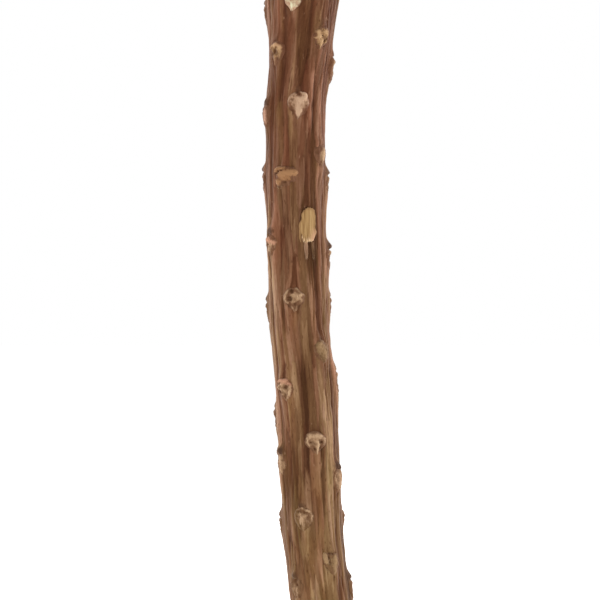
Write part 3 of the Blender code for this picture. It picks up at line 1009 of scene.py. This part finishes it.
def makeFibres():
    draw = random.Random(litter["seed"])
    bm = bmesh.new()
    place, strand, fray = layers(bm, "strand", "fray")
    for number in range(litter["fibres"]):
        height, turn = draw.uniform(0.04, 0.93) * stem["length"], draw.uniform(-180, 180)
        length, swing, lift = draw.uniform(1.5, 5) * mm, draw.uniform(-6, 6), draw.uniform(0.1, 0.45) * mm
        thickness, tone = draw.uniform(0.6, 1.3) * litter["fibreRadius"], draw.uniform(0.2, 0.9)
        known = set(bm.verts)
        sides = litter["fibreSides"]
        bmesh.ops.create_cone(bm, cap_ends=True, segments=sides, radius1=1, radius2=1, depth=1)
        long = [edge for edge in bm.edges if edge.verts[0] not in known
                and abs(edge.verts[0].co.z - edge.verts[1].co.z) > 0.5]
        bmesh.ops.subdivide_edges(bm, edges=long, cuts=litter["fibreSteps"])
        for vert in [vert for vert in bm.verts if vert not in known]:
            share = vert.co.z + 0.5
            slim = thickness * (1.05 - share) ** 0.6
            bent = turn + swing * share ** 2 + 2 * math.sin(share * 5 + number)
            rise = height + length * share
            _, radius = stemAt(rise)
            out = barkForm(rise, bent)[0] + lift * share ** 3 + slim * (0.4 + vert.co.y)
            bent += math.degrees(vert.co.x * 1.6 * slim / radius)
            put(vert, place, rise, bent, out)
            vert[strand] = tone
            vert[fray] = smooth(0.5, 1, share)
    addPiece("looseFibres", bm, stripPaint("fibre", 0.1))


def makeCrumbs():
    draw = random.Random(litter["seed"] + 1)
    bm = bmesh.new()
    place, pale = layers(bm, "pale")
    spots = [(draw.uniform(0.03, 0.95) * stem["length"], draw.uniform(-180, 180), draw.uniform(0.4, 1.0))
             for _ in range(litter["crumbs"])]
    leaf = leaves[litter["crumblyLeaf"]]
    spots += [(leaf["height"] - draw.uniform(0.9, 2.2) * mm, leaf["turn"] - draw.uniform(2, 18),
               draw.uniform(0.8, 1.5)) for _ in range(litter["moreCrumbs"])]
    for height, turn, size in spots:
        size *= litter["crumbSize"]
        _, radius = stemAt(height)
        out = barkForm(height, turn)[0]
        for vert in bmesh.ops.create_icosphere(bm, subdivisions=2, radius=1)["verts"]:
            rough = 1 + 0.5 * noise.noise(vert.co * 1.7 + Vector((height, turn, 0)) * 90)
            shift = vert.co * size * rough
            bent = turn + math.degrees(shift.x / radius)
            vert.co = onStem(height + 1.3 * shift.y, bent, out + 0.6 * shift.z)
            vert[place] = straight(height + shift.y, bent)
            vert[pale] = 1
    addPiece("crumbs", bm, leafPaints["tan"])


makeFibres()
makeCrumbs()
print("fibres and crumbs made")


# Floor, light and camera

studio = {
    "frameHeight": 100 * mm,
    "aimHeight": 63 * mm,
    "aimSide": -5.15 * mm,
    "lens": 200,
    "sensor": 36,
    "floorSize": 4.0,
    "floorGlow": 0.5,
    "skyLight": 0.62,
    # lamps: place, size, power
    "lamps": {
        "sideRight": ((0.5, 0.28, 0.12), (0.3, 0.6), 7.0),
        "sideLeft": ((-0.5, 0.4, 0.12), (0.3, 0.6), 6.0),
        "front": ((-0.1, -0.7, 0.5), (0.5, 0.5), 3.0),
    },
}


def makeFloor():
    bm = bmesh.new()
    bmesh.ops.create_grid(bm, x_segments=8, y_segments=8, size=studio["floorSize"])
    mesh = bpy.data.meshes.new("floor")
    bm.to_mesh(mesh)
    bm.free()
    paint = Paint("floor", 0.9, 0.0)
    paint.set({"Base Color": (0.9, 0.9, 0.9, 1), "Emission Color": (1, 1, 1, 1),
               "Emission Strength": studio["floorGlow"]})
    mesh.materials.append(paint.material)
    floor = addObject("floor", mesh)


def makeLamp(name, place, size, power, aim):
    lamp = bpy.data.lights.new(name, "AREA")
    lamp.shape = "RECTANGLE"
    lamp.size, lamp.size_y = size
    lamp.energy = power
    holder = addObject(name, lamp)
    holder.location = place
    holder.rotation_euler = (aim - Vector(place)).to_track_quat("-Z", "Y").to_euler()


def makeStudio():
    scene = bpy.context.scene
    scene.view_settings.view_transform = "Standard"
    world = bpy.data.worlds.new("studio")
    scene.world = world
    world.use_nodes = True
    tree = world.node_tree
    lit = tree.nodes["Background"]  # the light of the sky, and the white that is seen behind the stem
    lit.inputs["Strength"].default_value = studio["skyLight"]
    seen = tree.nodes.new("ShaderNodeBackground")
    path = tree.nodes.new("ShaderNodeLightPath")
    mix = tree.nodes.new("ShaderNodeMixShader")
    tree.links.new(path.outputs["Is Camera Ray"], mix.inputs[0])
    for number, background in enumerate((lit, seen)):
        background.inputs["Color"].default_value = (1, 1, 1, 1)
        tree.links.new(background.outputs[0], mix.inputs[number + 1])
    tree.links.new(mix.outputs[0], tree.nodes["World Output"].inputs["Surface"])
    aim = Vector((studio["aimSide"], 0, studio["aimHeight"]))
    for name, (place, size, power) in studio["lamps"].items():
        makeLamp(name, place, size, power, aim)
    camera = bpy.data.cameras.new("camera")
    camera.lens = studio["lens"]
    camera.sensor_width = studio["sensor"]
    camera.clip_start = 0.01
    distance = studio["lens"] * studio["frameHeight"] / studio["sensor"]
    holder = addObject("camera", camera)
    holder.location = aim - Vector((0, distance, 0))
    holder.rotation_euler = (math.pi / 2, 0, 0)
    scene.camera = holder


makeFloor()
makeStudio()
print("studio made")
